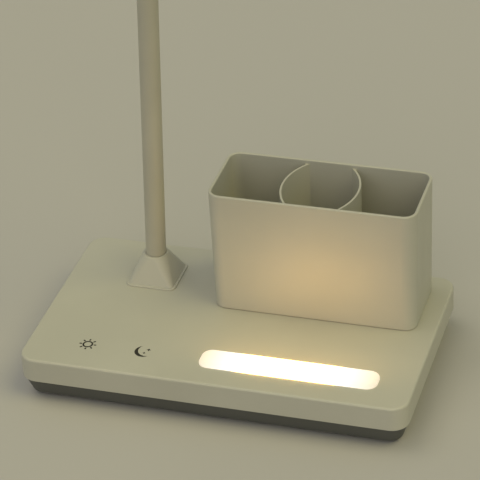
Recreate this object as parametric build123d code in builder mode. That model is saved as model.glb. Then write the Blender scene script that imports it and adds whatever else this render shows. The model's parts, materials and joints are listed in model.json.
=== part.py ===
from build123d import *
from math import cos, pi, radians, sin, sqrt
import os

os.makedirs("parts", exist_ok=True)

# Desk lamp with a pen organizer. Millimetres, +Z up, +X to the right, +Y to the back.
# The origin lies on the desk, below the middle of the base.

# Base outline and heights
base_width = 190.0
base_depth = 111.5
base_corner = 8.5
foot_gap = 2.0
tray_height = 9.0
cover_height = 12.25

# Walls of the base shells
cover_wall = 2.2
cover_top = 2.5
cover_edge = 1.2
tray_wall = 2.8
tray_floor = 2.0
tray_top_inset = 0.6
tray_bottom_inset = 3.8
tray_bottom_corner = 6.0
tray_bottom_edge = 0.8
lip_height = 2.5
lip_root = 2.0
lip_wall = 1.4
rib_thickness = 1.2
rib_height = 4.0
rib_columns = 5
rib_rows = 3

# Clearance between fixed pieces
fit_gap = 0.2

# Screws: radius of the thread, radius and height of the head, length that bites
screw_radius = 1.5
screw_head_radius = 2.8
screw_head_height = 2.0
screw_bite = 6.0
small_screw_radius = 1.1
small_head_radius = 2.1
small_head_height = 1.5
small_screw_bite = 4.0
boss_wall = 1.6

# Posts that the base screws pull together
post_inset_x = 12.7
post_inset_y = 11.75
post_wall = 2.1
tray_post_height = 5.0
screw_seat = 2.5

# Rubber feet
foot_radius = 7.0
foot_inset_x = 25.0
foot_inset_y = 15.75
foot_recess = 0.8
foot_edge = 0.6

# Steel ballast plate and the posts that hold it
ballast_thickness = 4.0
ballast_margin_x = 22.0
ballast_margin_y = 14.0
ballast_corner = 5.0
ballast_post_inset = 9.0
ballast_post_wall = 1.5
ballast_clamp = 0.2

# Night light: the strip runs from the touch zone to the right-hand margin
touch_zone = 86.0
lens_right_margin = 17.2
lens_front_margin = 12.45
lens_width = 14.4
lens_corner = 5.2
lens_flange = 1.6
lens_flange_thickness = 1.2
lens_proud = 0.8
lens_edge = 0.6
reflector_height = 6.0
reflector_wall = 1.4
strip_thickness = 1.2
strip_ear = 9.0
strip_ear_width = 7.0
strip_ear_height = 2.0
strip_led_count = 8
led_length = 3.5
led_width = 2.8
led_height = 0.8

# Touch control
icon_left_margin = 30.0
icon_pitch = 27.5
icon_front_margin = 18.45
contact_radius = 4.0
contact_bore = 2.6
contact_height = 5.0
board_left_margin = 18.0
board_gap = 6.0
board_depth = 24.0
board_thickness = 1.6
board_pillar_inset = 3.5
chip_width = 9.0
chip_depth = 6.0
chip_height = 1.4
plug_width = 7.0
plug_depth = 5.0
plug_height = 3.5

# Power inlet in the rear wall
inlet_left_margin = 75.0
inlet_width = 9.0
inlet_height = 9.0
inlet_depth = 12.0
inlet_top_gap = 0.3
inlet_nose_radius = 4.0
inlet_bore_radius = 2.75
inlet_bore_depth = 9.5
inlet_pin_radius = 1.05
inlet_pin_length = 8.0

# Organizer box and the plinth on which it stands
organizer_left_margin = 79.7
organizer_right_margin = 9.8
organizer_back_margin = 7.9
box_depth = 41.8
box_height = 64.3
box_wall = 1.5
box_floor = 2.0
box_corner = 6.0
box_draft = 0.58
box_foot_edge = 0.9
box_rim_edge = 0.6
plinth_height = 1.6
plinth_gap = 0.4
divider_bow = 18.6
divider_radius = 30.7
divider_thickness = 0.95
divider_drop = 2.0
divider_root = 0.7

# Neck boot and the ferrule under it
neck_left_margin = 43.8
neck_back_margin = 28.45
neck_lean = 2.35
boot_width = 25.5
boot_corner = 3.4
boot_foot = 0.9
boot_foot_edge = 0.4
boot_ledge = 1.0
boot_height = 14.0
boot_mouth_wall = 1.05
boot_mouth_edge = 0.5
ferrule_flange_radius = 8.0
ferrule_flange = 1.5
ferrule_collar_wall = 2.0
ferrule_collar = 5.5
ferrule_stud_radius = 4.0
ferrule_stud_spare = 0.5
socket_depth = 4.0
spreader_width = 36.0
spreader_corner = 4.0
spreader_thickness = 1.5
nut_flats = 13.0
nut_height = 3.0

# Neck: sleeve over a wound core over a lead, on a centreline of a rise, an arch and a reach
sleeve_radius = 5.0
sleeve_wall = 1.4
core_wall = 1.5
layer_gap = 0.2
neck_rise = 255.0
neck_arch = 60.0
neck_reach = 22.0
bend_count = 8
first_bend = 18.0
last_bend = 12.0
seat_gap = 0.4
core_in_ball = 3.2
core_below_cup = 0.2
lead_turn = 5.5
lead_over_ballast = 0.5
lead_under_board = 5.0

# Lamp head
head_length = 165.0
head_width = 36.0
head_corner = 9.0
head_axis_height = 4.5
head_cover_height = 11.5
head_wall = 1.8
head_rear_wall = 8.0
head_top_edge = 3.0
bezel_height = 2.5
bezel_edge = 1.0
bezel_border = 6.0
tongue_height = 2.0
tongue_wall = 1.2
bezel_nut_gap = 2.0
opening_corner = 4.5
diffuser_flange = 1.6
diffuser_flange_thickness = 1.2
head_collar = 7.0
head_stud_radius = 3.4
head_nut_flats = 8.4
head_nut_height = 3.0
head_board_width = 20.0
head_board_margin = 8.0
head_board_depth = 4.2
head_board_screws = 3
head_led_columns = 16
head_led_spread = 6.0
lead_tail = 5.0

# Levels and edges of the base
left = -base_width / 2
right = base_width / 2
front = -base_depth / 2
back = base_depth / 2
joint_z = foot_gap + tray_height
top_z = joint_z + cover_height
ceiling_z = top_z - cover_top
floor_z = foot_gap + tray_floor
post_seat_z = floor_z + tray_post_height
ballast_top_z = floor_z + ballast_thickness

# Places on the base
post_reach_x = right - post_inset_x
post_reach_y = back - post_inset_y
corner_posts = [(x * post_reach_x, y * post_reach_y) for x in (-1, 1) for y in (-1, 1)]
post_radius = screw_radius + post_wall
tray_post_radius = screw_head_radius + fit_gap + boss_wall
small_boss_radius = small_screw_radius + boss_wall
ballast_width = base_width - 2 * ballast_margin_x
ballast_depth = base_depth - 2 * ballast_margin_y
ballast_post_radius = screw_radius + ballast_post_wall
ballast_reach_x = ballast_width / 2 - ballast_post_inset
ballast_reach_y = ballast_depth / 2 - ballast_post_inset
ballast_posts = [(x * ballast_reach_x, y * ballast_reach_y) for x in (-1, 1) for y in (-1, 1)]
lens_length = base_width - touch_zone - lens_right_margin
lens_x = left + touch_zone + lens_length / 2
lens_y = front + lens_front_margin + lens_width / 2
reflector_top_z = ceiling_z - lens_flange_thickness
strip_top_z = reflector_top_z - reflector_height
strip_length = lens_length + 2 * strip_ear
strip_screw_reach = strip_length / 2 - strip_ear_width / 2
strip_screws = [(lens_x + side * strip_screw_reach, lens_y) for side in (-1, 1)]
icon_x = left + icon_left_margin
icon_y = front + icon_front_margin
board_left = left + board_left_margin
board_right = lens_x - strip_length / 2 - board_gap
board_width = board_right - board_left
board_x = (board_left + board_right) / 2
board_top_z = ceiling_z - contact_height
board_bottom_z = board_top_z - board_thickness
pillar_reach_x = board_width / 2 - board_pillar_inset
pillar_reach_y = board_depth / 2 - board_pillar_inset
pillar_columns = (board_x - pillar_reach_x, board_x + pillar_reach_x)
pillar_rows = (icon_y - pillar_reach_y, icon_y + pillar_reach_y)
board_pillars = [(x, y) for x in pillar_columns for y in pillar_rows]
inlet_x = left + inlet_left_margin
inlet_z = ceiling_z - inlet_top_gap - inlet_height / 2
box_width = base_width - organizer_left_margin - organizer_right_margin
box_x = left + organizer_left_margin + box_width / 2
box_y = back - organizer_back_margin - box_depth / 2
box_recess = plinth_height + plinth_gap
box_floor_z = top_z + box_recess + box_floor
plinth_width = box_width - 2 * (box_wall + plinth_gap)
plinth_depth = box_depth - 2 * (box_wall + plinth_gap)
plinth_corner = box_corner - box_wall - plinth_gap
neck_x = left + neck_left_margin
neck_y = back - neck_back_margin
neck_root_z = top_z + ferrule_flange + ferrule_collar

# Layers of the neck
sleeve_bore = sleeve_radius - sleeve_wall
core_radius = sleeve_bore - layer_gap
core_bore = core_radius - core_wall
lead_radius = core_bore - layer_gap
ferrule_collar_radius = core_radius + ferrule_collar_wall

# Frames of the neck: its root leans to the right, and its centreline lies in the plane that runs forward
neck_right = (cos(radians(neck_lean)), 0, -sin(radians(neck_lean)))
neck_up = (sin(radians(neck_lean)), 0, cos(radians(neck_lean)))
neck_frame = Plane(origin=(neck_x, neck_y, neck_root_z), x_dir=neck_right, z_dir=neck_up)
neck_side = Plane(origin=neck_frame.origin, x_dir=(0, -1, 0), z_dir=-neck_frame.x_dir)
arch_length = neck_arch * pi / 2
neck_length = neck_rise + arch_length + neck_reach
bend_pitch = (neck_length - first_bend - last_bend) / (bend_count - 1)
bends = [first_bend + bend_pitch * index for index in range(bend_count)]
hung = (Align.CENTER, Align.CENTER, Align.MAX)


def finish(piece, name):
    """Labels a finished piece and writes its STEP file."""
    piece.part.label = name
    export_step(piece.part, f"parts/{name}.step")


def tray_outline(height, inset):
    """Rounded outline of the sloping tray at a height, drawn in by an inset."""
    share = (height - foot_gap) / tray_height
    side = tray_bottom_inset + share * (tray_top_inset - tray_bottom_inset) + inset
    corner = tray_bottom_corner + share * (base_corner - tray_top_inset - tray_bottom_corner)
    with BuildSketch(Plane.XY.offset(height)) as outline:
        RectangleRounded(base_width - 2 * side, base_depth - 2 * side, corner - inset)
    return outline.sketch


def make_screws(name, seats, head_radius, head_height, shank_radius, shank_length):
    """Screws in one node: each seat is the plane under the head, with the shank along its normal."""
    with BuildPart() as screws:
        for seat in seats:
            with BuildSketch(seat.offset(-head_height)):
                Circle(head_radius)
            extrude(amount=head_height)
            with BuildSketch(seat):
                Circle(shank_radius)
            extrude(amount=shank_length)
    finish(screws, name)


def make_foot(name, x, y):
    """Rubber foot that stands on the desk and fills a recess in the tray."""
    with BuildPart() as foot:
        with BuildSketch():
            with Locations((x, y)):
                Circle(foot_radius)
        extrude(amount=foot_gap + foot_recess)
        fillet(foot.faces().sort_by(Axis.Z)[0].edges(), foot_edge)
    finish(foot, name)


def neck_turn(length):
    """Angle by which the neck has bent forward, a length along it from its root."""
    return min(max((length - neck_rise) / neck_arch, 0), pi / 2)


def neck_point(length):
    """Point of the neck's centreline, a length along it from its root."""
    turn = neck_turn(length)
    reach = max(length - neck_rise - arch_length, 0)
    forward = neck_arch * (1 - cos(turn)) + reach
    up = min(length, neck_rise) + neck_arch * sin(turn)
    return neck_side.from_local_coords((forward, up, 0))


def neck_section(length):
    """Plane across the neck, its normal along the centreline."""
    turn = neck_turn(length)
    heading = neck_side.x_dir * sin(turn) + neck_side.y_dir * cos(turn)
    return Plane(origin=neck_point(length), x_dir=neck_frame.x_dir, z_dir=heading)


def neck_path(start, end):
    """Centreline between two lengths, as straight runs and arcs."""
    corners = [length for length in (neck_rise, neck_rise + arch_length) if start < length < end]
    stops = [start, *corners, end]
    with BuildLine() as path:
        for low, high in zip(stops, stops[1:]):
            if neck_turn(high) > neck_turn(low):
                ThreePointArc(neck_point(low), neck_point((low + high) / 2), neck_point(high))
            else:
                Line(neck_point(low), neck_point(high))
    return path.wire()


def make_layer(name, start, end, outer, inner):
    """One layer of a neck span, cut square at both ends."""
    with BuildPart() as layer:
        with BuildSketch(neck_section(start)):
            Circle(outer)
            if inner:
                Circle(inner, mode=Mode.SUBTRACT)
        sweep(path=neck_path(start, end))
    finish(layer, name)


def make_sleeve(name, start, end, has_ball, has_cup):
    """Sleeve of a neck span: a ball below, round the bend's centre, and a cup above for the next ball."""
    with BuildPart() as sleeve:
        with BuildSketch(neck_section(start)):
            Circle(sleeve_radius)
            Circle(sleeve_bore, mode=Mode.SUBTRACT)
        sweep(path=neck_path(start, end))
        if has_ball:
            with Locations(neck_section(start)):
                Sphere(sleeve_radius, arc_size1=-90, arc_size2=0, align=hung)
                Cylinder(sleeve_bore, sleeve_radius, align=hung, mode=Mode.SUBTRACT)
        if has_cup:
            with Locations(neck_section(end)):
                Sphere(sleeve_radius + seat_gap, mode=Mode.SUBTRACT)
    finish(sleeve, name)


# Base cover: a lid with posts, pillars and ribs under it, a plinth for the box, and openings
with BuildPart() as base_cover:
    with BuildSketch(Plane.XY.offset(joint_z)):
        RectangleRounded(base_width, base_depth, base_corner)
    extrude(amount=cover_height)
    fillet(base_cover.faces().sort_by(Axis.Z)[-1].edges(), cover_edge)
    with BuildSketch(Plane.XY.offset(joint_z)):
        RectangleRounded(base_width - 2 * cover_wall, base_depth - 2 * cover_wall, base_corner - cover_wall)
    extrude(amount=cover_height - cover_top, mode=Mode.SUBTRACT)
    with BuildSketch(Plane.XY.offset(top_z)):
        with Locations((box_x, box_y)):
            RectangleRounded(plinth_width, plinth_depth, plinth_corner)
    extrude(amount=plinth_height)
    with BuildSketch(Plane.XY.offset(ceiling_z - rib_height)):
        with Locations((box_x, box_y)):
            with GridLocations(plinth_width / rib_columns, 0, rib_columns, 1):
                Rectangle(rib_thickness, plinth_depth)
            with GridLocations(0, plinth_depth / rib_rows, 1, rib_rows):
                Rectangle(plinth_width, rib_thickness)
    extrude(amount=rib_height + cover_top / 2)
    with BuildSketch(Plane.XY.offset(post_seat_z)):
        with Locations(*corner_posts):
            Circle(post_radius)
    extrude(amount=ceiling_z - post_seat_z + cover_top / 2)
    with BuildSketch(Plane.XY.offset(post_seat_z)):
        with Locations(*corner_posts):
            Circle(screw_radius)
    extrude(amount=screw_bite, mode=Mode.SUBTRACT)
    with BuildSketch(Plane.XY.offset(board_top_z)):
        with Locations(*board_pillars):
            Circle(small_boss_radius)
    extrude(amount=contact_height + cover_top / 2)
    with BuildSketch(Plane.XY.offset(board_top_z)):
        with Locations(*board_pillars):
            Circle(small_screw_radius)
    extrude(amount=small_screw_bite, mode=Mode.SUBTRACT)
    with BuildSketch(Plane.XY.offset(strip_top_z + strip_ear_height)):
        with Locations(*strip_screws):
            Circle(small_boss_radius)
    extrude(amount=ceiling_z - strip_top_z - strip_ear_height + cover_top / 2)
    with BuildSketch(Plane.XY.offset(strip_top_z + strip_ear_height)):
        with Locations(*strip_screws):
            Circle(small_screw_radius)
    extrude(amount=small_screw_bite, mode=Mode.SUBTRACT)
    with BuildSketch(Plane.XY.offset(ceiling_z)):
        with Locations((lens_x, lens_y)):
            RectangleRounded(lens_length, lens_width, lens_corner)
        with Locations((neck_x, neck_y)):
            Circle(ferrule_stud_radius + fit_gap)
    extrude(amount=cover_top, mode=Mode.SUBTRACT)
    with BuildSketch(Plane.XY.offset(inlet_z - inlet_height / 2)):
        with Locations((inlet_x, back - cover_wall - inlet_depth / 2)):
            with GridLocations(inlet_width + 2 * fit_gap + rib_thickness, 0, 2, 1):
                Rectangle(rib_thickness, inlet_depth)
    extrude(amount=inlet_height + inlet_top_gap + cover_top / 2)
    with BuildSketch(Plane(origin=(inlet_x, back, inlet_z), x_dir=(1, 0, 0), z_dir=(0, -1, 0))):
        Circle(inlet_nose_radius + fit_gap)
    extrude(amount=cover_wall, mode=Mode.SUBTRACT)
finish(base_cover, "base_cover")

# Base tray: sloping sides, a lip inside the cover, screw wells, ballast posts and recesses for the feet
feet = {
    "foot_front_left": (left + foot_inset_x, front + foot_inset_y),
    "foot_front_right": (right - foot_inset_x, front + foot_inset_y),
    "foot_rear_left": (left + foot_inset_x, back - foot_inset_y),
    "foot_rear_right": (right - foot_inset_x, back - foot_inset_y),
}
lip_inset = cover_wall + fit_gap
with BuildPart() as base_tray:
    loft(sections=[tray_outline(foot_gap, 0), tray_outline(joint_z, 0)], ruled=True)
    fillet(base_tray.faces().sort_by(Axis.Z)[0].edges(), tray_bottom_edge)
    tray_hollow = [tray_outline(floor_z, tray_wall), tray_outline(joint_z, tray_wall)]
    loft(sections=tray_hollow, ruled=True, mode=Mode.SUBTRACT)
    with BuildSketch(Plane.XY.offset(joint_z - lip_root)):
        RectangleRounded(base_width - 2 * lip_inset, base_depth - 2 * lip_inset, base_corner - lip_inset)
        offset(amount=-lip_wall, mode=Mode.SUBTRACT)
        with Locations((inlet_x, back - cover_wall - inlet_depth / 2)):
            Rectangle(inlet_width + 4 * fit_gap + 2 * rib_thickness, inlet_depth, mode=Mode.SUBTRACT)
    extrude(amount=lip_root + lip_height)
    with BuildSketch(Plane.XY.offset(foot_gap)):
        with Locations(*corner_posts):
            Circle(tray_post_radius)
    extrude(amount=post_seat_z - foot_gap)
    with BuildSketch(Plane.XY.offset(foot_gap)):
        with Locations(*corner_posts):
            Circle(screw_head_radius + fit_gap)
    extrude(amount=post_seat_z - screw_seat - foot_gap, mode=Mode.SUBTRACT)
    with BuildSketch(Plane.XY.offset(foot_gap)):
        with Locations(*corner_posts):
            Circle(screw_radius + fit_gap)
    extrude(amount=post_seat_z - foot_gap, mode=Mode.SUBTRACT)
    with BuildSketch(Plane.XY.offset(floor_z)):
        with Locations(*ballast_posts):
            Circle(ballast_post_radius)
            Circle(screw_radius, mode=Mode.SUBTRACT)
    extrude(amount=ballast_thickness - ballast_clamp)
    with BuildSketch(Plane.XY.offset(foot_gap)):
        with Locations(*feet.values()):
            Circle(foot_radius + fit_gap)
    extrude(amount=foot_recess, mode=Mode.SUBTRACT)
finish(base_tray, "base_tray")

for foot_name, (foot_x, foot_y) in feet.items():
    make_foot(foot_name, foot_x, foot_y)

make_screws(
    "base_screws",
    [Plane.XY.offset(post_seat_z - screw_seat).move(Location((x, y, 0))) for x, y in corner_posts],
    screw_head_radius,
    screw_head_height,
    screw_radius,
    screw_seat + screw_bite,
)

# Ballast plate on the tray floor
with BuildPart() as ballast_plate:
    with BuildSketch(Plane.XY.offset(floor_z)):
        RectangleRounded(ballast_width, ballast_depth, ballast_corner)
        with Locations(*ballast_posts):
            Circle(ballast_post_radius + fit_gap, mode=Mode.SUBTRACT)
    extrude(amount=ballast_thickness)
finish(ballast_plate, "ballast_plate")

make_screws(
    "ballast_screws",
    [Plane(origin=(x, y, ballast_top_z), z_dir=(0, 0, -1)) for x, y in ballast_posts],
    ballast_post_radius + boss_wall,
    screw_head_height,
    screw_radius,
    ballast_thickness,
)

# Night light: lens through the cover, reflector frame under it, board with its light emitters at the bottom
reflector_length = lens_length + 2 * lens_flange
reflector_width = lens_width + 2 * lens_flange
reflector_corner = lens_corner + lens_flange
chamber_length = reflector_length - 2 * reflector_wall
chamber_width = reflector_width - 2 * reflector_wall
with BuildPart() as night_light_lens:
    with BuildSketch(Plane.XY.offset(ceiling_z)):
        with Locations((lens_x, lens_y)):
            RectangleRounded(lens_length - 2 * fit_gap, lens_width - 2 * fit_gap, lens_corner - fit_gap)
    extrude(amount=cover_top + lens_proud)
    fillet(night_light_lens.faces().sort_by(Axis.Z)[-1].edges(), lens_edge)
    with BuildSketch(Plane.XY.offset(ceiling_z)):
        with Locations((lens_x, lens_y)):
            RectangleRounded(reflector_length, reflector_width, reflector_corner)
    extrude(amount=-lens_flange_thickness)
finish(night_light_lens, "night_light_lens")

with BuildPart() as night_light_reflector:
    with BuildSketch(Plane.XY.offset(strip_top_z)):
        with Locations((lens_x, lens_y)):
            RectangleRounded(reflector_length, reflector_width, reflector_corner)
    extrude(amount=reflector_height)
    with BuildSketch(Plane.XY.offset(strip_top_z)):
        with Locations((lens_x, lens_y)):
            SlotOverall(strip_length, strip_ear_width)
    extrude(amount=strip_ear_height)
    with BuildSketch(Plane.XY.offset(strip_top_z)):
        with Locations((lens_x, lens_y)):
            RectangleRounded(chamber_length, chamber_width, reflector_corner - reflector_wall)
        with Locations(*strip_screws):
            Circle(small_screw_radius + fit_gap)
    extrude(amount=reflector_height, mode=Mode.SUBTRACT)
finish(night_light_reflector, "night_light_reflector")

with BuildPart() as night_light_board:
    with BuildSketch(Plane.XY.offset(strip_top_z - strip_thickness)):
        with Locations((lens_x, lens_y)):
            RectangleRounded(reflector_length, reflector_width, reflector_corner)
            SlotOverall(strip_length, strip_ear_width)
        with Locations(*strip_screws):
            Circle(small_screw_radius + fit_gap, mode=Mode.SUBTRACT)
    extrude(amount=strip_thickness)
finish(night_light_board, "night_light_board")

with BuildPart() as night_light_leds:
    with BuildSketch(Plane.XY.offset(strip_top_z)):
        with Locations((lens_x, lens_y)):
            with GridLocations(lens_length / strip_led_count, 0, strip_led_count, 1):
                Rectangle(led_length, led_width)
    extrude(amount=led_height)
finish(night_light_leds, "night_light_leds")

make_screws(
    "night_light_screws",
    [Plane.XY.offset(strip_top_z - strip_thickness).move(Location((x, y, 0))) for x, y in strip_screws],
    small_head_radius,
    small_head_height,
    small_screw_radius,
    strip_thickness + strip_ear_height + small_screw_bite,
)

# Touch control: board under the printed marks, its parts, and a contact under each mark
with BuildPart() as control_board:
    with BuildSketch(Plane.XY.offset(board_bottom_z)):
        with Locations((board_x, icon_y)):
            Rectangle(board_width, board_depth)
        with Locations(*board_pillars):
            Circle(small_screw_radius + fit_gap, mode=Mode.SUBTRACT)
    extrude(amount=board_thickness)
finish(control_board, "control_board")

with BuildPart() as board_chips:
    with BuildSketch(Plane.XY.offset(board_top_z)):
        with Locations((board_x, icon_y)):
            Rectangle(chip_width, chip_depth)
    extrude(amount=chip_height)
    with BuildSketch(Plane.XY.offset(board_bottom_z)):
        with Locations((board_x, icon_y)):
            with GridLocations(2 * plug_width, 0, 3, 1):
                Rectangle(plug_width, plug_depth)
    extrude(amount=-plug_height)
finish(board_chips, "board_chips")

with BuildPart() as touch_contacts:
    with BuildSketch(Plane.XY.offset(board_top_z)):
        with Locations((icon_x, icon_y), (icon_x + icon_pitch, icon_y)):
            Circle(contact_radius)
            Circle(contact_bore, mode=Mode.SUBTRACT)
    extrude(amount=contact_height)
finish(touch_contacts, "touch_contacts")

make_screws(
    "board_screws",
    [Plane.XY.offset(board_bottom_z).move(Location((x, y, 0))) for x, y in board_pillars],
    small_head_radius,
    small_head_height,
    small_screw_radius,
    board_thickness + small_screw_bite,
)

# Power inlet: a body behind the rear wall, its nose through the wall, a bore with a pin
inlet_face = Plane(origin=(inlet_x, back - cover_wall, inlet_z), x_dir=(1, 0, 0), z_dir=(0, -1, 0))
inlet_mouth = inlet_face.offset(-cover_wall)
with BuildPart() as power_inlet:
    with BuildSketch(inlet_face):
        Rectangle(inlet_width, inlet_height)
    extrude(amount=inlet_depth)
    with BuildSketch(inlet_mouth):
        Circle(inlet_nose_radius)
    extrude(amount=cover_wall)
    with BuildSketch(inlet_mouth):
        Circle(inlet_bore_radius)
    extrude(amount=inlet_bore_depth, mode=Mode.SUBTRACT)
    with BuildSketch(inlet_mouth.offset(inlet_bore_depth)):
        Circle(inlet_pin_radius)
    extrude(amount=-inlet_pin_length)
finish(power_inlet, "power_inlet")

# Organizer box: drafted walls, rounded rim and foot, a recess over the plinth and two bowed dividers
divider_offset = divider_radius - divider_bow
divider_reach = box_depth / 2 - box_wall / 2
divider_run = sqrt(divider_radius**2 - (box_depth / 2)**2)
with BuildPart() as organizer_box:
    with BuildSketch(Plane.XY.offset(top_z)):
        with Locations((box_x, box_y)):
            RectangleRounded(box_width, box_depth, box_corner)
    extrude(amount=box_height, taper=-box_draft)
    fillet(organizer_box.faces().sort_by(Axis.Z)[0].edges(), box_foot_edge)
    with BuildSketch(Plane.XY.offset(box_floor_z)):
        with Locations((box_x, box_y)):
            RectangleRounded(box_width - 2 * box_wall, box_depth - 2 * box_wall, box_corner - box_wall)
    extrude(amount=box_height, taper=-box_draft, mode=Mode.SUBTRACT)
    fillet(organizer_box.faces().sort_by(Axis.Z)[-1].edges(), box_rim_edge)
    with BuildSketch(Plane.XY.offset(top_z)):
        with Locations((box_x, box_y)):
            RectangleRounded(box_width - 2 * box_wall, box_depth - 2 * box_wall, box_corner - box_wall)
    extrude(amount=box_recess, mode=Mode.SUBTRACT)
    with BuildSketch(Plane.XY.offset(box_floor_z - box_floor / 2)):
        for side in (-1, 1):
            with BuildLine():
                ThreePointArc(
                    (box_x + side * (divider_run - divider_offset), box_y - box_depth / 2),
                    (box_x + side * divider_bow, box_y),
                    (box_x + side * (divider_run - divider_offset), box_y + box_depth / 2),
                )
            trace(line_width=divider_thickness)
        with Locations((box_x, box_y)):
            Rectangle(box_width, 2 * divider_reach, mode=Mode.INTERSECT)
    extrude(amount=top_z + box_height - divider_drop - box_floor_z + box_floor / 2)
    fillet(organizer_box.edges().filter_by(GeomType.ELLIPSE), divider_root)
finish(organizer_box, "organizer_box")

# Neck ferrule: a flange on the cover, a leaning socket for the core, and a stud through the cover
stud_length = cover_top + spreader_thickness + nut_height + ferrule_stud_spare
with BuildPart() as neck_ferrule:
    with BuildSketch(Plane.XY.offset(top_z)):
        with Locations((neck_x, neck_y)):
            Circle(ferrule_flange_radius)
    extrude(amount=ferrule_flange)
    with BuildSketch(neck_frame):
        Circle(ferrule_collar_radius)
    extrude(amount=-ferrule_collar - ferrule_flange / 2)
    with BuildSketch(Plane.XY.offset(top_z)):
        with Locations((neck_x, neck_y)):
            Circle(ferrule_stud_radius)
    extrude(amount=-stud_length)
    with BuildSketch(neck_frame):
        Circle(core_radius + layer_gap)
    extrude(amount=socket_depth, both=True, mode=Mode.SUBTRACT)
    with BuildSketch(neck_frame):
        Circle(core_bore)
    extrude(amount=-2 * (neck_root_z - top_z + stud_length), mode=Mode.SUBTRACT)
finish(neck_ferrule, "neck_ferrule")

with BuildPart() as neck_spreader:
    with BuildSketch(Plane.XY.offset(ceiling_z)):
        with Locations((neck_x, neck_y)):
            RectangleRounded(spreader_width, spreader_width, spreader_corner)
            Circle(ferrule_stud_radius + fit_gap, mode=Mode.SUBTRACT)
    extrude(amount=-spreader_thickness)
finish(neck_spreader, "neck_spreader")

with BuildPart() as neck_nut:
    with BuildSketch(Plane.XY.offset(ceiling_z - spreader_thickness)):
        with Locations((neck_x, neck_y)):
            RegularPolygon(nut_flats / 2, 6, major_radius=False)
            Circle(ferrule_stud_radius, mode=Mode.SUBTRACT)
    extrude(amount=-nut_height)
finish(neck_nut, "neck_nut")

# Neck boot: a square pyramid on a thin ledge, which runs up to a round mouth, hollow over the ferrule
pyramid_width = boot_width - 2 * boot_ledge
mouth_width = 2 * (sleeve_radius + fit_gap + boot_mouth_wall)
mouth_corner = mouth_width / 2 - fit_gap
with BuildPart() as neck_boot:
    with BuildSketch(Plane.XY.offset(top_z)):
        with Locations((neck_x, neck_y)):
            RectangleRounded(boot_width, boot_width, boot_corner)
    extrude(amount=boot_foot)
    fillet(neck_boot.faces().sort_by(Axis.Z)[-1].edges(), boot_foot_edge)
    with BuildSketch(Plane.XY.offset(top_z + boot_foot)) as boot_low:
        with Locations((neck_x, neck_y)):
            RectangleRounded(pyramid_width, pyramid_width, boot_corner - boot_ledge)
    with BuildSketch(Plane.XY.offset(top_z + boot_height)) as boot_high:
        with Locations((neck_x, neck_y)):
            RectangleRounded(mouth_width, mouth_width, mouth_corner)
    loft(ruled=True)
    fillet(neck_boot.faces().sort_by(Axis.Z)[-1].edges(), boot_mouth_edge)
    with BuildSketch(Plane.XY.offset(top_z)):
        with Locations((neck_x, neck_y)):
            Circle(ferrule_flange_radius + fit_gap)
    extrude(amount=ferrule_flange + fit_gap, mode=Mode.SUBTRACT)
    with BuildSketch(neck_frame.offset(fit_gap)):
        Circle(ferrule_collar_radius + fit_gap)
    extrude(amount=-ferrule_collar - ferrule_flange, mode=Mode.SUBTRACT)
    with BuildSketch(neck_frame):
        Circle(sleeve_radius + fit_gap)
    extrude(amount=boot_height, mode=Mode.SUBTRACT)
finish(neck_boot, "neck_boot")

# Neck spans: the root is fixed to the base, each later span turns on the bend below it
head_stud_end = neck_length + head_collar + head_rear_wall + head_nut_height
span_names = ["root", *[str(index + 1) for index in range(bend_count)]]
for index, span in enumerate(span_names):
    is_root = index == 0
    is_last = index == bend_count
    low = 0 if is_root else bends[index - 1]
    high = neck_length if is_last else bends[index]
    cup_depth = sleeve_radius + seat_gap + core_below_cup
    core_low = fit_gap - socket_depth if is_root else low - core_in_ball
    core_high = neck_length + socket_depth - fit_gap if is_last else high - cup_depth
    lead_high = head_stud_end + lead_tail if is_last else core_high
    make_sleeve(f"neck_sleeve_{span}", low, high, not is_root, not is_last)
    make_layer(f"neck_core_{span}", core_low, core_high, core_radius, core_bore)
    if not is_root:
        make_layer(f"neck_lead_{span}", core_low, lead_high, lead_radius, 0)

# Root of the lead: from under the control board, over the ballast plate and up through the ferrule
lead_low = ballast_top_z + lead_over_ballast + lead_radius - neck_root_z
lead_end = neck_y - icon_y - board_depth / 2 + lead_under_board
lead_top = bends[0] - sleeve_radius - seat_gap - core_below_cup
with BuildPart() as neck_lead_root:
    with BuildLine(neck_side) as lead_route:
        FilletPolyline((lead_end, lead_low), (0, lead_low), (0, lead_top), radius=lead_turn)
    with BuildSketch(Plane(origin=lead_route.line @ 0, z_dir=lead_route.line % 0)):
        Circle(lead_radius)
    sweep(path=lead_route.wire())
finish(neck_lead_root, "neck_lead_root")

# Lamp head: its frame lies at the end of the neck, with the bar running forward
head_frame = Plane(origin=neck_point(neck_length), x_dir=neck_frame.x_dir, z_dir=neck_frame.z_dir)
head_rise = Axis(head_frame.origin, head_frame.z_dir)
head_mid = -head_collar - head_length / 2
head_split = head_frame.offset(-head_axis_height)
head_ceiling = head_frame.offset(head_cover_height - head_axis_height - head_wall)
head_front_inside = -head_collar - head_length + head_wall
head_rear_inside = -head_collar - head_rear_wall
cavity_length = head_rear_inside - head_front_inside
cavity_mid = (head_rear_inside + head_front_inside) / 2
cavity_width = head_width - 2 * head_wall
cavity_corner = head_corner - head_wall
head_board_low = head_ceiling.offset(-head_board_depth)
head_board_rear = head_rear_inside - head_nut_height - lead_tail - head_board_margin
head_board_front = head_front_inside + head_board_margin
head_board_length = head_board_rear - head_board_front
head_board_mid = (head_board_rear + head_board_front) / 2
head_screw_pitch = head_board_length / head_board_screws

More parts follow.
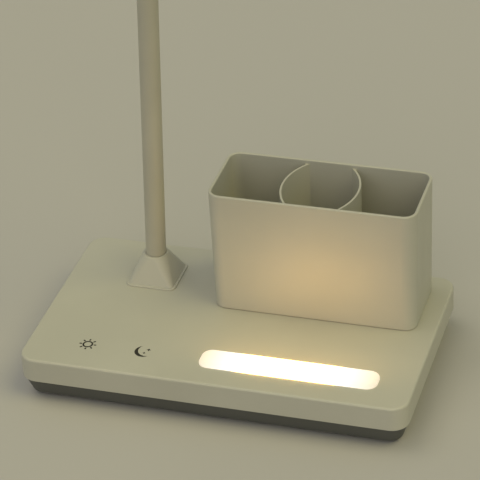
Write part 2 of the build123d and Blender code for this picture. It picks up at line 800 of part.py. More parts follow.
with BuildPart() as head_cover:
    with BuildSketch(head_split):
        with Locations((0, head_mid)):
            RectangleRounded(head_width, head_length, head_corner)
    extrude(amount=head_cover_height)
    fillet(head_cover.faces().sort_by(head_rise)[-1].edges(), head_top_edge)
    with BuildSketch(head_split):
        with Locations((0, cavity_mid)):
            RectangleRounded(cavity_width, cavity_length, cavity_corner)
    extrude(amount=head_cover_height - head_wall, mode=Mode.SUBTRACT)
    with BuildSketch(head_board_low):
        with Locations((0, head_board_mid)):
            with GridLocations(0, head_screw_pitch, 1, head_board_screws):
                Circle(small_boss_radius)
    extrude(amount=head_board_depth + head_wall / 2)
    with BuildSketch(head_board_low):
        with Locations((0, head_board_mid)):
            with GridLocations(0, head_screw_pitch, 1, head_board_screws):
                Circle(small_screw_radius)
    extrude(amount=small_screw_bite, mode=Mode.SUBTRACT)
    with BuildSketch(neck_section(neck_length + head_collar)):
        Circle(head_stud_radius + fit_gap)
    extrude(amount=head_rear_wall, mode=Mode.SUBTRACT)
finish(head_cover, "head_cover")

opening_width = head_width - 2 * bezel_border
opening_front = head_front_inside + bezel_border - head_wall
opening_rear = head_rear_inside - head_nut_height - diffuser_flange - bezel_nut_gap
opening_length = opening_rear - opening_front
opening_mid = (opening_rear + opening_front) / 2
with BuildPart() as head_bezel:
    with BuildSketch(head_split):
        with Locations((0, head_mid)):
            RectangleRounded(head_width, head_length, head_corner)
    extrude(amount=-bezel_height)
    fillet(head_bezel.faces().sort_by(head_rise)[0].edges(), bezel_edge)
    with BuildSketch(head_split):
        with Locations((0, cavity_mid)):
            with GridLocations(cavity_width - 2 * fit_gap - tongue_wall, 0, 2, 1):
                Rectangle(tongue_wall, cavity_length - 2 * cavity_corner)
    extrude(amount=tongue_height)
    with BuildSketch(head_split):
        with Locations((0, opening_mid)):
            RectangleRounded(opening_width, opening_length, opening_corner)
    extrude(amount=-bezel_height, mode=Mode.SUBTRACT)
finish(head_bezel, "head_bezel")

with BuildPart() as head_diffuser:
    with BuildSketch(head_split):
        with Locations((0, opening_mid)):
            RectangleRounded(
                opening_width - 2 * fit_gap,
                opening_length - 2 * fit_gap,
                opening_corner - fit_gap,
            )
    extrude(amount=-bezel_height)
    with BuildSketch(head_split):
        with Locations((0, opening_mid)):
            RectangleRounded(
                opening_width + 2 * diffuser_flange,
                opening_length + 2 * diffuser_flange,
                opening_corner + diffuser_flange,
            )
    extrude(amount=diffuser_flange_thickness)
finish(head_diffuser, "head_diffuser")

with BuildPart() as head_board:
    with BuildSketch(head_board_low):
        with Locations((0, head_board_mid)):
            Rectangle(head_board_width, head_board_length)
            with GridLocations(0, head_screw_pitch, 1, head_board_screws):
                Circle(small_screw_radius + fit_gap, mode=Mode.SUBTRACT)
    extrude(amount=-strip_thickness)
finish(head_board, "head_board")

head_led_pitch = head_board_length / head_led_columns
with BuildPart() as head_leds:
    with BuildSketch(head_board_low.offset(-strip_thickness)):
        with Locations((0, head_board_mid)):
            with GridLocations(2 * head_led_spread, head_led_pitch, 2, head_led_columns):
                Rectangle(led_width, led_length)
    extrude(amount=-led_height)
finish(head_leds, "head_leds")

head_screw_seat = head_board_low.offset(-strip_thickness)
head_screw_first = head_board_mid - head_screw_pitch * (head_board_screws - 1) / 2
head_screw_rows = [head_screw_first + head_screw_pitch * index for index in range(head_board_screws)]
head_screw_points = [head_screw_seat.from_local_coords((0, row, 0)) for row in head_screw_rows]
make_screws(
    "head_screws",
    [Plane(point, x_dir=head_frame.x_dir, z_dir=head_frame.z_dir) for point in head_screw_points],
    small_head_radius,
    small_head_height,
    small_screw_radius,
    strip_thickness + small_screw_bite,
)

# Head ferrule: grips the core, carries the head on a stud, with a nut inside the head
with BuildPart() as head_ferrule:
    with BuildSketch(neck_section(neck_length)):
        Circle(sleeve_radius)
    extrude(amount=head_collar)
    with BuildSketch(neck_section(neck_length + head_collar)):
        Circle(head_stud_radius)
    extrude(amount=head_rear_wall + head_nut_height)
    with BuildSketch(neck_section(neck_length)):
        Circle(core_radius + layer_gap)
    extrude(amount=socket_depth, mode=Mode.SUBTRACT)
    with BuildSketch(neck_section(neck_length)):
        Circle(core_bore)
    extrude(amount=head_stud_end - neck_length, mode=Mode.SUBTRACT)
finish(head_ferrule, "head_ferrule")

with BuildPart() as head_nut:
    with BuildSketch(neck_section(neck_length + head_collar + head_rear_wall)):
        RegularPolygon(head_nut_flats / 2, 6, major_radius=False)
        Circle(head_stud_radius, mode=Mode.SUBTRACT)
    extrude(amount=head_nut_height)
finish(head_nut, "head_nut")
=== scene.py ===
import json
import math

import bmesh
import bpy
from bpy.props import FloatProperty, FloatVectorProperty, IntProperty, PointerProperty
from bpy.types import Operator, Panel, PropertyGroup
from mathutils import Matrix, Vector


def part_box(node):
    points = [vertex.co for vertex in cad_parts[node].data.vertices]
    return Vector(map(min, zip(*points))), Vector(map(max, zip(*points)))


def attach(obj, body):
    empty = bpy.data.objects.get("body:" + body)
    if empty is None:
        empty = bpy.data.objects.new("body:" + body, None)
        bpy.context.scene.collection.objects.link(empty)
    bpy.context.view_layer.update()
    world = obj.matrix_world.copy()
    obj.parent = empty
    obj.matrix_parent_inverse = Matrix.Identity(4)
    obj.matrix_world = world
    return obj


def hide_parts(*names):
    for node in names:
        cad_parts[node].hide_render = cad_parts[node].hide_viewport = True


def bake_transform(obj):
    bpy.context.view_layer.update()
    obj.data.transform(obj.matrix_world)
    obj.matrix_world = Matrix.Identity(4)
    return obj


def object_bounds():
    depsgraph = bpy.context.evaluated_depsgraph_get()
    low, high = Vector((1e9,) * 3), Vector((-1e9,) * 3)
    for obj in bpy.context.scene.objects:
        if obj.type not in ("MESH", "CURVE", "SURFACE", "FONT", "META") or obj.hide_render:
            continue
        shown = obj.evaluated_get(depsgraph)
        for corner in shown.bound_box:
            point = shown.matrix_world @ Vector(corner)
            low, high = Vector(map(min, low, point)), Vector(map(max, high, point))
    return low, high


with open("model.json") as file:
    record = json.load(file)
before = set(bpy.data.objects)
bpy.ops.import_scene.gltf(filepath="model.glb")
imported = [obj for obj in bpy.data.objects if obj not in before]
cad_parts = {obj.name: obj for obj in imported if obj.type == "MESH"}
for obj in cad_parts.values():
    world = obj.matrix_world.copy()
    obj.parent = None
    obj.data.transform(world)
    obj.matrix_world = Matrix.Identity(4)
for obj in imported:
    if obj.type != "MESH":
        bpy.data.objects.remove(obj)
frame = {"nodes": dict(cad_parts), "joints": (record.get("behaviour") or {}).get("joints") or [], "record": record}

bl_info = {
    "name": "Desk lamp with organizer",
    "version": (1, 0, 0),
    "blender": (4, 5, 0),
    "location": "3D View > Sidebar > Desk lamp",
    "description": "Dresses the desk lamp's solids with their finishes and sets the stage",
    "category": "Object",
}

CAD_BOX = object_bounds()
MM = 0.001
NODES = frame["nodes"]
BENDS = [joint for joint in frame["joints"] if joint["type"] == "hinge"]
BOOT_LOW, BOOT_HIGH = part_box("neck_boot")
LENS_LOW, LENS_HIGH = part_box("night_light_lens")
INLET_LOW, INLET_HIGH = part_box("power_inlet")
SCREWS_LOW, SCREWS_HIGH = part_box("base_screws")
TOP_Z = BOOT_LOW.z
TINY = 0.01 * MM
WELD = 0.002 * MM
FACING = 0.9
INK_LAYERS = 1.5
STAR_CORNERS = 8


def length(name, description, default):
    """A size in millimetres, kept in metres."""
    return FloatProperty(
        name=name, description=description, default=default * MM, precision=5, unit="LENGTH"
    )


def place(name, description, default):
    """A point in millimetres, kept in metres."""
    return FloatVectorProperty(
        name=name,
        description=description,
        default=[value * MM for value in default],
        size=len(default),
        precision=5,
        unit="LENGTH",
    )


def angle(name, description, default):
    """An angle in degrees, kept in radians."""
    return FloatProperty(
        name=name, description=description, default=math.radians(default), subtype="ANGLE"
    )


def colour(name, description, default):
    """A linear colour."""
    return FloatVectorProperty(
        name=name,
        description=description,
        default=default,
        size=3,
        min=0.0,
        max=1.0,
        subtype="COLOR",
    )


def power(name, description, default):
    """A strength of light."""
    return FloatProperty(name=name, description=description, default=default, min=0.0)


def share(name, description, default):
    """A share of a whole."""
    return FloatProperty(
        name=name, description=description, default=default, min=0.0, max=1.0, subtype="FACTOR"
    )


def count(name, description, default, least):
    """A whole number."""
    return IntProperty(name=name, description=description, default=default, min=least)


class NeckSettings(PropertyGroup):
    """Sizes of the neck's sleeve and of its centreline."""

    radius: length("Sleeve radius", "Outside radius of the soft sleeve", 5.0)
    wall: length("Sleeve wall", "Thickness of the soft sleeve", 1.4)
    root: place("Root", "Where the neck's centreline leaves the ferrule", (-51.2, 27.3, 30.25))
    lean: angle("Lean", "How far the neck leans to the right", 2.35)
    rise: length("Rise", "Straight length from the root to the arch", 255.0)
    arch: length("Arch radius", "Radius of the quarter turn towards the head", 60.0)
    reach: length("Reach", "Straight length from the arch to the head", 22.0)
    first_bend: length("First bend", "Length along the neck to its lowest bend", 18.0)
    last_bend: length("Last bend", "Length from the highest bend to the head", 12.0)
    bend_reach: length("Bend reach", "How far on each side of a bend the sleeve curves", 22.0)
    ring_step: length("Ring step", "Distance between the sleeve's rings", 2.0)
    sides: count("Sides", "Sides of the sleeve's rings", 56, 12)


class MarkSettings(PropertyGroup):
    """Sizes of the two printed touch marks."""

    sun: place("Sun", "Middle of the sun on the cover", (-65.08, -37.2))
    ring_radius: length("Ring radius", "Outside radius of the sun's ring", 2.6)
    line: length("Line", "Width of the sun's lines", 0.82)
    ray_radius: length("Ray radius", "Distance from the sun's middle to the middle of a ray", 3.6)
    ray_length: length("Ray length", "Length of a ray", 1.45)
    ray_count: count("Rays", "Number of rays", 8, 3)
    ring_sides: count("Ring sides", "Sides of the sun's ring", 64, 12)
    ray_sides: count("Ray sides", "Sides of a ray's rounded outline", 16, 8)
    moon: place("Moon", "Middle of the crescent's outer circle", (-36.93, -36.99))
    moon_radius: length("Moon radius", "Radius of the crescent's outer circle", 4.4)
    bite_radius: length("Bite radius", "Radius of the circle cut from the crescent", 4.6)
    bite_shift: place("Bite shift", "Offset of that circle", (1.65, 1.08))
    big_star: place("Larger star", "Middle of the larger star", (-34.91, -35.29))
    small_star: place("Smaller star", "Middle of the smaller star", (-36.32, -38.23))
    big_star_radius: length("Larger star radius", "Radius of the larger star", 1.15)
    small_star_radius: length("Smaller star radius", "Radius of the smaller star", 0.8)
    star_waist: share("Star waist", "Size of a star's waist, as a share of its radius", 0.42)
    moon_sides: count("Moon sides", "Sides of the crescent's circles", 96, 24)
    ink: length("Ink height", "How far the ink stands above the cover", 0.03)


class FastenerSettings(PropertyGroup):
    """Sizes of the screws under the tray and of the inlet's pin."""

    head_radius: length("Head radius", "Radius of a screw's head", 2.8)
    head_height: length("Head height", "Height of a screw's head", 2.0)
    shank_radius: length("Shank radius", "Radius of a screw's thread", 1.5)
    head_rounding: length("Head rounding", "Rounding of a screw's head", 0.9)
    tip_length: share("Tip length", "Share of the thread that its tip takes", 0.15)
    tip_width: share("Tip width", "Width of the tip's end, as a share of the thread", 0.4)
    recess_length: length("Recess length", "Length of an arm of the cross recess", 3.64)
    recess_width: length("Recess width", "Width of an arm of the cross recess", 0.8)
    recess_depth: length("Recess depth", "Depth of the cross recess", 1.1)
    recess_taper: share("Recess taper", "Size of the recess at its bottom, as a share", 0.45)
    screw_sides: count("Screw sides", "Sides of a screw's head", 48, 12)
    pin_radius: length("Pin radius", "Radius of the inlet's pin", 1.1)
    pin_length: length("Pin length", "Length of the inlet's pin", 8.0)
    pin_setback: length("Pin setback", "Distance from the inlet's mouth to the pin's tip", 1.45)
    pin_rounding: length("Pin rounding", "Rounding of the pin's tip", 0.605)
    pin_rim: length("Pin rim", "Width of the rim round the tip's dimple", 0.132)
    pin_dimple: length("Pin dimple", "Depth of the tip's dimple", 0.33)
    pin_sides: count("Pin sides", "Sides of the pin", 32, 12)


class FinishSettings(PropertyGroup):
    """Colours of the finishes, and the night light's glow."""

    white: colour("White", "Moulded white plastic", (0.482, 0.4685, 0.392))
    sleeve: colour("Sleeve", "Soft sleeve of the neck", (0.44, 0.418, 0.335))
    grey: colour("Grey", "Dark plastic of the tray", (0.088, 0.0905, 0.084))
    ink: colour("Ink", "Print of the touch marks", (0.012, 0.011, 0.009))
    glow: colour("Glow", "Light of the night light", (1.0, 0.593, 0.195))
    glow_end: colour("Glow at the ends", "Night light at its ends", (0.094, 0.081, 0.061))
    glow_pale: colour("Pale glow", "Night light near its ends", (0.150, 0.142, 0.130))
    glow_fade: length("Glow fade", "Length over which the night light fades at an end", 26.0)
    frost: colour("Frost", "Frosted window of the night light", (0.34, 0.32, 0.27))
    frost_pale: colour("Pale frost", "Paler specks of that window", (0.38, 0.36, 0.30))
    glow_power: power("Glow power", "Strength of the night light", 7.3)
    diffuser: colour("Diffuser", "Frosted cover of the light bar", (0.62, 0.62, 0.58))
    steel: colour("Steel", "Plated steel", (0.56, 0.57, 0.58))
    brass: colour("Brass", "Plated contacts", (0.62, 0.46, 0.20))
    rubber: colour("Rubber", "Feet", (0.030, 0.030, 0.028))
    lead: colour("Lead", "Jacket of the lead in the neck", (0.02, 0.02, 0.02))
    board: colour("Board", "Mask of the control board", (0.012, 0.075, 0.030))
    board_runs: colour("Board runs", "Copper runs under that mask", (0.05, 0.16, 0.06))
    white_board: colour("White board", "Mask of the boards that carry light", (0.55, 0.55, 0.53))
    white_runs: colour("White board runs", "Copper runs under that mask", (0.45, 0.45, 0.42))
    phosphor: colour("Phosphor", "Light emitters", (0.75, 0.52, 0.08))
    epoxy: colour("Epoxy", "Bodies of the chips", (0.02, 0.02, 0.02))
    socket: colour("Socket", "Body of the power inlet", (0.018, 0.018, 0.018))


class StageSettings(PropertyGroup):
    """Floor, light and camera."""

    floor_size: length("Floor size", "Side of the floor", 6000.0)
    floor: colour("Floor", "Pale floor", (0.462, 0.446, 0.42))
    backdrop: colour("Backdrop", "Plain backdrop behind the floor", (0.381, 0.366, 0.278))
    sky: colour("Sky", "Colour of the light from all round", (0.72, 0.87, 1.0))
    sky_power: power("Sky power", "Strength of the light from all round", 0.30)
    top_lamp: place("Top lamp", "Direction of the lamp overhead", (-407.0, 0.0, 914.0))
    top_tone: colour("Top lamp colour", "Light of the lamp overhead", (1.0, 0.917, 0.667))
    top_power: power("Top lamp power", "Lamp overhead, in watts a square metre", 0.686)
    top_spread: angle("Top lamp spread", "How wide the lamp overhead looks", 40.0)
    side_lamp: place("Side lamp", "Direction of the lamp on the right", (551.0, -97.0, 829.0))
    side_tone: colour("Side lamp colour", "Light of the lamp on the right", (1.0, 0.887, 0.379))
    side_power: power("Side lamp power", "Lamp on the right, in watts a square metre", 0.97)
    side_spread: angle("Side lamp spread", "How wide the lamp on the right looks", 40.0)
    front_lamp: place("Front lamp", "Direction of the lamp in front", (0.0, -883.0, 469.0))
    front_tone: colour("Front lamp colour", "Light of the lamp in front", (1.0, 0.892, 0.715))
    front_power: power("Front lamp power", "Lamp in front, in watts a square metre", 0.795)
    front_spread: angle("Front lamp spread", "How wide the lamp in front looks", 60.0)
    glow_size: place("Glow size", "Length and height of the light on the box", (80.0, 20.0))
    glow_power: power("Glow power", "Light from the lens on the box, in watts", 0.0055)
    glow_tilt: angle("Glow tilt", "How far the light on the box points down", 25.0)
    camera: place("Camera", "Place of the camera", (291.59, -877.6, 658.39))
    yaw: angle("Yaw", "Turn of the camera to the left", 18.25)
    pitch: angle("Pitch", "Tilt of the camera", -32.56)
    roll: angle("Roll", "Turn of the camera about its own view", -3.25)
    lens: FloatProperty(name="Lens", description="Focal length in millimetres", default=173.65)
    sensor: FloatProperty(name="Sensor", description="Sensor width in millimetres", default=36.0)
    nearest: length("Nearest", "Nearest distance that the camera shows", 10.0)


class LampSettings(PropertyGroup):
    """All settings of the desk lamp."""

    neck: PointerProperty(type=NeckSettings)
    marks: PointerProperty(type=MarkSettings)
    fasteners: PointerProperty(type=FastenerSettings)
    finishes: PointerProperty(type=FinishSettings)
    stage: PointerProperty(type=StageSettings)


class Wire:
    """A socket of a finish, with sums on it written as Python expressions."""

    def __init__(self, finish, socket):
        self.finish = finish
        self.socket = socket

    def sum(self, operation, first, second):
        """Adds a Math node."""
        return self.finish.node("ShaderNodeMath", {"operation": operation}, {0: first, 1: second})

    def __add__(self, other):
        return self.sum("ADD", self, other)

    def __radd__(self, other):
        return self.sum("ADD", other, self)

    def __sub__(self, other):
        return self.sum("SUBTRACT", self, other)

    def __rsub__(self, other):
        return self.sum("SUBTRACT", other, self)

    def __mul__(self, other):
        return self.sum("MULTIPLY", self, other)

    def __rmul__(self, other):
        return self.sum("MULTIPLY", other, self)

    def __truediv__(self, other):
        return self.sum("DIVIDE", self, other)

    def __rtruediv__(self, other):
        return self.sum("DIVIDE", other, self)


class Finish:
    """A material, or the world's sky, that is built node by node."""

    def __init__(self, name, shelf=bpy.data.materials):
        self.block = shelf.new(name)
        self.block.use_nodes = True
        self.tree = self.block.node_tree
        self.tree.nodes.clear()

    def node(self, kind, settings=None, inputs=None, output=0):
        """Adds a node, sets it up, fills its sockets and gives the wanted output."""
        made = self.tree.nodes.new(kind)
        for key, value in (settings or {}).items():
            if key == "stops":
                ramp = made.color_ramp
                while len(ramp.elements) < len(value):
                    ramp.elements.new(1.0)
                for element, (position, tone) in zip(ramp.elements, value):
                    element.position = position
                    element.color = (*tone, 1.0)
            else:
                setattr(made, key, value)
        for key, value in (inputs or {}).items():
            socket = made.inputs[key]
            if isinstance(value, Wire):
                self.tree.links.new(value.socket, socket)
            elif hasattr(socket.default_value, "__len__"):
                socket.default_value = [*value, 1.0][: len(socket.default_value)]
            else:
                socket.default_value = value
        return Wire(self, made.outputs[output]) if made.outputs else None

    def coordinates(self, stretch=(1.0, 1.0, 1.0)):
        """The piece's own coordinates, stretched along its axes."""
        raw = self.node("ShaderNodeTexCoord", output="Object")
        if stretch == (1.0, 1.0, 1.0):
            return raw
        return self.node("ShaderNodeMapping", None, {"Vector": raw, "Scale": stretch})

    def noise(self, scale, detail=2.0, stretch=(1.0, 1.0, 1.0)):
        """Cloudy values around a half."""
        return self.node(
            "ShaderNodeTexNoise",
            None,
            {"Vector": self.coordinates(stretch), "Scale": scale, "Detail": detail},
        )

    def step(self, value, low, high):
        """Smooth step of a value between two limits."""
        return self.node(
            "ShaderNodeMapRange",
            {"interpolation_type": "SMOOTHSTEP"},
            {"Value": value, "From Min": low, "From Max": high},
        )

    def mix(self, amount, first, second):
        """Colour between two colours."""
        sockets = {0: amount, 6: first, 7: second}
        return self.node("ShaderNodeMix", {"data_type": "RGBA"}, sockets, output=2)

    def bump(self, height, strength, distance):
        """Normal of a fine relief."""
        sockets = {"Height": height, "Strength": strength, "Distance": distance}
        return self.node("ShaderNodeBump", None, sockets)

    def surface(self, inputs):
        """Ends the finish in its surface shader."""
        shader = self.node("ShaderNodeBsdfPrincipled", None, inputs)
        self.node("ShaderNodeOutputMaterial", None, {"Surface": shader})
        return self.block


def shaded(tone, factor):
    """A colour made lighter or darker."""
    return tuple(min(value * factor, 1.0) for value in tone)


def moulded_plastic(name, tone, rough, grain=2400.0, relief=0.10):
    """Moulded plastic: slow clouds in its tone, faint smears and a fine spark-eroded grain."""
    made = Finish(name)
    cloud = made.noise(scale=16.0, detail=3.0)
    smear = made.noise(scale=70.0, detail=4.0, stretch=(1.0, 1.6, 0.7))
    skin = made.noise(scale=grain)
    pits = made.step(skin, low=0.62, high=0.78) * 0.35
    base = made.mix(made.step(cloud, low=0.3, high=0.7), shaded(tone, 0.965), shaded(tone, 1.035))
    base = made.mix(pits, base, shaded(tone, 0.9))
    return made.surface({
        "Base Color": base,
        "Roughness": rough + (smear - 0.5) * 0.16 + (skin - 0.5) * 0.06,
        "Normal": made.bump(skin, strength=relief, distance=0.04 * MM),
    })


def soft_sleeve(name, tone):
    """Silicone sleeve: matte, with faint lengthwise drawing marks and a trace of dust."""
    made = Finish(name)
    cloud = made.noise(scale=28.0, detail=3.0)
    drawn = made.noise(scale=900.0, stretch=(1.0, 1.0, 0.04))
    dust = made.noise(scale=1900.0)
    specks = made.step(dust, low=0.66, high=0.8) * 0.3
    base = made.mix(made.step(cloud, low=0.3, high=0.7), shaded(tone, 0.96), shaded(tone, 1.04))
    base = made.mix(specks, base, shaded(tone, 1.2))
    return made.surface({
        "Base Color": base,
        "Roughness": 0.52 + (drawn - 0.5) * 0.14,
        "Normal": made.bump(drawn + dust * 0.4, strength=0.12, distance=0.03 * MM),
    })


def glowing_lens(name, finishes):
    """Frosted lens, lit from below: brightest along its middle and pale at its ends."""
    made = Finish(name)
    spot = made.node("ShaderNodeSeparateXYZ", None, {"Vector": made.coordinates()}, output="X")
    middle = (LENS_LOW + LENS_HIGH) / 2
    half_length = (LENS_HIGH.x - LENS_LOW.x) / 2
    along = made.node("ShaderNodeMath", {"operation": "ABSOLUTE"}, {0: spot - middle.x})
    frost = made.noise(scale=1600.0)
    fade = (half_length - along) / finishes.glow_fade + (frost - 0.5) * 0.04
    stops = [(0.08, finishes.glow_end), (0.7, finishes.glow_pale), (1.0, finishes.glow)]
    glow = made.node("ShaderNodeValToRGB", {"stops": stops}, {"Fac": fade})
    return made.surface({
        "Base Color": made.mix(frost, finishes.frost, finishes.frost_pale),
        "Roughness": 0.45 + (frost - 0.5) * 0.2,
        "Emission Color": glow,
        "Emission Strength": finishes.glow_power,
        "Normal": made.bump(frost, strength=0.08, distance=0.03 * MM),
    })


def plated_steel(name, tone):
    """Zinc-plated steel: spangled tone, fine rolling marks and dull spots."""
    made = Finish(name)
    spangle = made.node(
        "ShaderNodeTexVoronoi", None, {"Vector": made.coordinates(), "Scale": 420.0}, output="Color"
    )
    flake = made.node("ShaderNodeSeparateColor", None, {"Color": spangle})
    rolled = made.noise(scale=700.0, detail=3.0, stretch=(1.0, 0.05, 1.0))
    base = made.mix(flake, shaded(tone, 0.86), shaded(tone, 1.1))
    return made.surface({
        "Base Color": base,
        "Metallic": 1.0,
        "Roughness": 0.30 + (rolled - 0.5) * 0.2 + (flake - 0.5) * 0.08,
        "Normal": made.bump(rolled, strength=0.06, distance=0.02 * MM),
    })


def printed_board(name, mask, copper):
    """Circuit board: solder mask with copper runs showing through as a grid of lines."""
    made = Finish(name)
    runs = made.node(
        "ShaderNodeTexBrick",
        {"offset": 0.37, "squash": 0.6, "squash_frequency": 3},
        {
            "Vector": made.coordinates(),
            "Scale": 130.0,
            "Mortar Size": 0.045,
            "Mortar Smooth": 0.1,
        },
        output="Fac",
    )
    grain = made.noise(scale=1500.0)
    base = made.mix(runs * 0.6, mask, copper)
    return made.surface({
        "Base Color": made.mix(grain * 0.25, base, shaded(mask, 0.8)),
        "Roughness": 0.34 + (grain - 0.5) * 0.12,
        "Normal": made.bump(runs, strength=0.2, distance=0.03 * MM),
    })


def socket_plastic(name, tone):
    """Black socket body with a moulded grain and bright scuffs where plugs have rubbed."""
    made = Finish(name)
    grain = made.noise(scale=2000.0)
    rubbed = made.noise(scale=500.0, detail=4.0, stretch=(1.0, 0.1, 1.0))
    scuff = made.step(rubbed, low=0.6, high=0.75)
    return made.surface({
        "Base Color": made.mix(scuff * 0.4, tone, shaded(tone, 3.0)),
        "Roughness": 0.30 + scuff * 0.2 + (grain - 0.5) * 0.1,
        "Normal": made.bump(grain, strength=0.08, distance=0.03 * MM),
    })


def pale_floor(name, tone):
    """Plain pale floor with slow clouds and a faint weave."""
    made = Finish(name)
    cloud = made.noise(scale=2.5)
    weave = made.noise(scale=600.0)
    return made.surface({
        "Base Color": made.mix(cloud, shaded(tone, 0.985), shaded(tone, 1.015)),
        "Roughness": 0.75 + (weave - 0.5) * 0.1,
        "Normal": made.bump(weave, strength=0.03, distance=0.05 * MM),
    })


def start_fresh():
    """Leaves edit mode and deselects everything."""
    if bpy.context.mode != "OBJECT":
        bpy.ops.object.mode_set(mode="OBJECT")
    bpy.ops.object.select_all(action="DESELECT")


def hold(piece):
    """Makes a piece the only one selected, and active."""
    start_fresh()
    piece.select_set(True)
    bpy.context.view_layer.objects.active = piece


def settle(piece, crease=35.0):
    """Puts a piece's place into its mesh, at the origin, and smooths its shading up to an angle."""
    hold(piece)
    bpy.ops.object.transform_apply(location=True, rotation=True, scale=True)
    bpy.ops.object.shade_smooth_by_angle(angle=math.radians(crease))


def shape_with(piece, kind, **values):
    """Adds a modifier with its values and applies it."""
    hold(piece)
    modifier = piece.modifiers.new(kind.title(), kind)
    for key, value in values.items():
        setattr(modifier, key, value)
    bpy.ops.object.modifier_apply(modifier=modifier.name)


def pick(piece, layer, test):
    """In edit mode, selects the vertices, edges or faces that pass a test."""
    mesh = bmesh.from_edit_mesh(piece.data)
    bpy.ops.mesh.select_all(action="DESELECT")
    found = [item for item in getattr(mesh, layer) if test(item)]
    if not found:
        raise RuntimeError(f"nothing to pick among the {layer} of {piece.name}")
    for item in found:
        item.select_set(True)
    mesh.select_flush_mode()
    bmesh.update_edit_mesh(piece.data)


def tidy_normals():
    """In edit mode, merges doubles and turns all faces outwards."""
    bpy.ops.mesh.select_all(action="SELECT")
    bpy.ops.mesh.remove_doubles(threshold=WELD)
    bpy.ops.mesh.normals_make_consistent(inside=False)


def join(pieces, name):
    """Joins pieces into one with a name."""
    start_fresh()
    for piece in pieces:
        piece.select_set(True)
    bpy.context.view_layer.objects.active = pieces[0]
    if len(pieces) > 1:
        bpy.ops.object.join()
    joined = bpy.context.object
    joined.name = name
    return joined


def dress(piece, material, body=None):
    """Gives a piece its material and the body that it rides on."""
    piece.data.materials.clear()
    piece.data.materials.append(material)
    if body:
        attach(piece, body)


def neck_axes(neck):
    """Right, up and forward directions of the leaning neck."""
    right = Vector((math.cos(neck.lean), 0.0, -math.sin(neck.lean)))
    up = Vector((math.sin(neck.lean), 0.0, math.cos(neck.lean)))
    return right, up, Vector((0.0, -1.0, 0.0))


def neck_place(neck, travel):
    """Point and heading of the neck's centreline, a length along it from its root."""
    _, up, forward = neck_axes(neck)
    turn = min(max((travel - neck.rise) / neck.arch, 0.0), math.pi / 2)
    past = max(travel - neck.rise - neck.arch * math.pi / 2, 0.0)
    ahead = neck.arch * (1.0 - math.cos(turn)) + past
    high = min(travel, neck.rise) + neck.arch * math.sin(turn)
    point = Vector(neck.root) + forward * ahead + up * high
    return point, up * math.cos(turn) + forward * math.sin(turn)


def grow_sleeve(neck, name, low, high):
    """Grows one stretch of sleeve along the centreline: runs by extrusion, the arch by a spin."""
    right, up, forward = neck_axes(neck)
    point, heading = neck_place(neck, low)
    basis = Matrix((right, heading.cross(right), heading)).transposed()
    start_fresh()
    bpy.ops.mesh.primitive_circle_add(
        vertices=neck.sides, radius=neck.radius, location=point, rotation=basis.to_euler()
    )
    sleeve = bpy.context.object
    sleeve.name = name
    bpy.ops.object.mode_set(mode="EDIT")
    bpy.ops.mesh.select_all(action="SELECT")
    arch_end = neck.rise + neck.arch * math.pi / 2
    stops = [low, *[stop for stop in (neck.rise, arch_end) if low < stop < high], high]
    hub = Vector(neck.root) + up * neck.rise + forward * neck.arch
    for near, far in zip(stops, stops[1:]):
        steps = max(2, math.ceil((far - near) / neck.ring_step))
        if neck.rise <= (near + far) / 2 <= arch_end:
            turn = (far - near) / neck.arch
            bpy.ops.mesh.spin(steps=steps, angle=turn, center=hub, axis=-right)
        else:
            step = neck_place(neck, near)[1] * ((far - near) / steps)
            for _ in range(steps):
                bpy.ops.mesh.extrude_region_move(TRANSFORM_OT_translate={"value": step})
    mesh = bmesh.from_edit_mesh(sleeve.data)
    last = [sleeve.matrix_world @ vertex.co for vertex in mesh.verts if vertex.select]
    middle = sum(last, Vector()) / len(last)
    if (middle - neck_place(neck, high)[0]).length > TINY:
        raise RuntimeError(f"{name} ends away from the neck's centreline")
    tidy_normals()
    bpy.ops.object.mode_set(mode="OBJECT")
    settle(sleeve)
    shape_with(sleeve, "SOLIDIFY", thickness=neck.wall, offset=-1.0, use_even_offset=True)
    settle(sleeve)
    return sleeve


def printed(name, ink, corners, radius, spot):
    """A flat printed shape on the cover, left in edit mode with its face selected."""
    start_fresh()
    bpy.ops.mesh.primitive_circle_add(
        vertices=corners, radius=radius, fill_type="NGON", location=(spot[0], spot[1], TOP_Z + ink)
    )
    made = bpy.context.object
    made.name = name
    bpy.ops.object.mode_set(mode="EDIT")
    bpy.ops.mesh.select_all(action="SELECT")
    return made


def thicken(shape, ink):
    """Gives a flat printed shape its ink height, down into the cover's skin."""
    bpy.ops.object.mode_set(mode="OBJECT")
    settle(shape)
    shape_with(shape, "SOLIDIFY", thickness=INK_LAYERS * ink, offset=-1.0)
    settle(shape)
    return shape


def print_star(name, marks, radius, spot):
    """A four-pointed star: every second corner of a disc drawn in."""
    star = printed(name, marks.ink, STAR_CORNERS, radius, spot)
    pick(star, "verts", lambda vertex: min(abs(vertex.co.x), abs(vertex.co.y)) > TINY)
    bpy.ops.transform.resize(
        value=(marks.star_waist, marks.star_waist, 1.0),
        center_override=(spot[0], spot[1], TOP_Z + marks.ink),
    )
    return thicken(star, marks.ink)


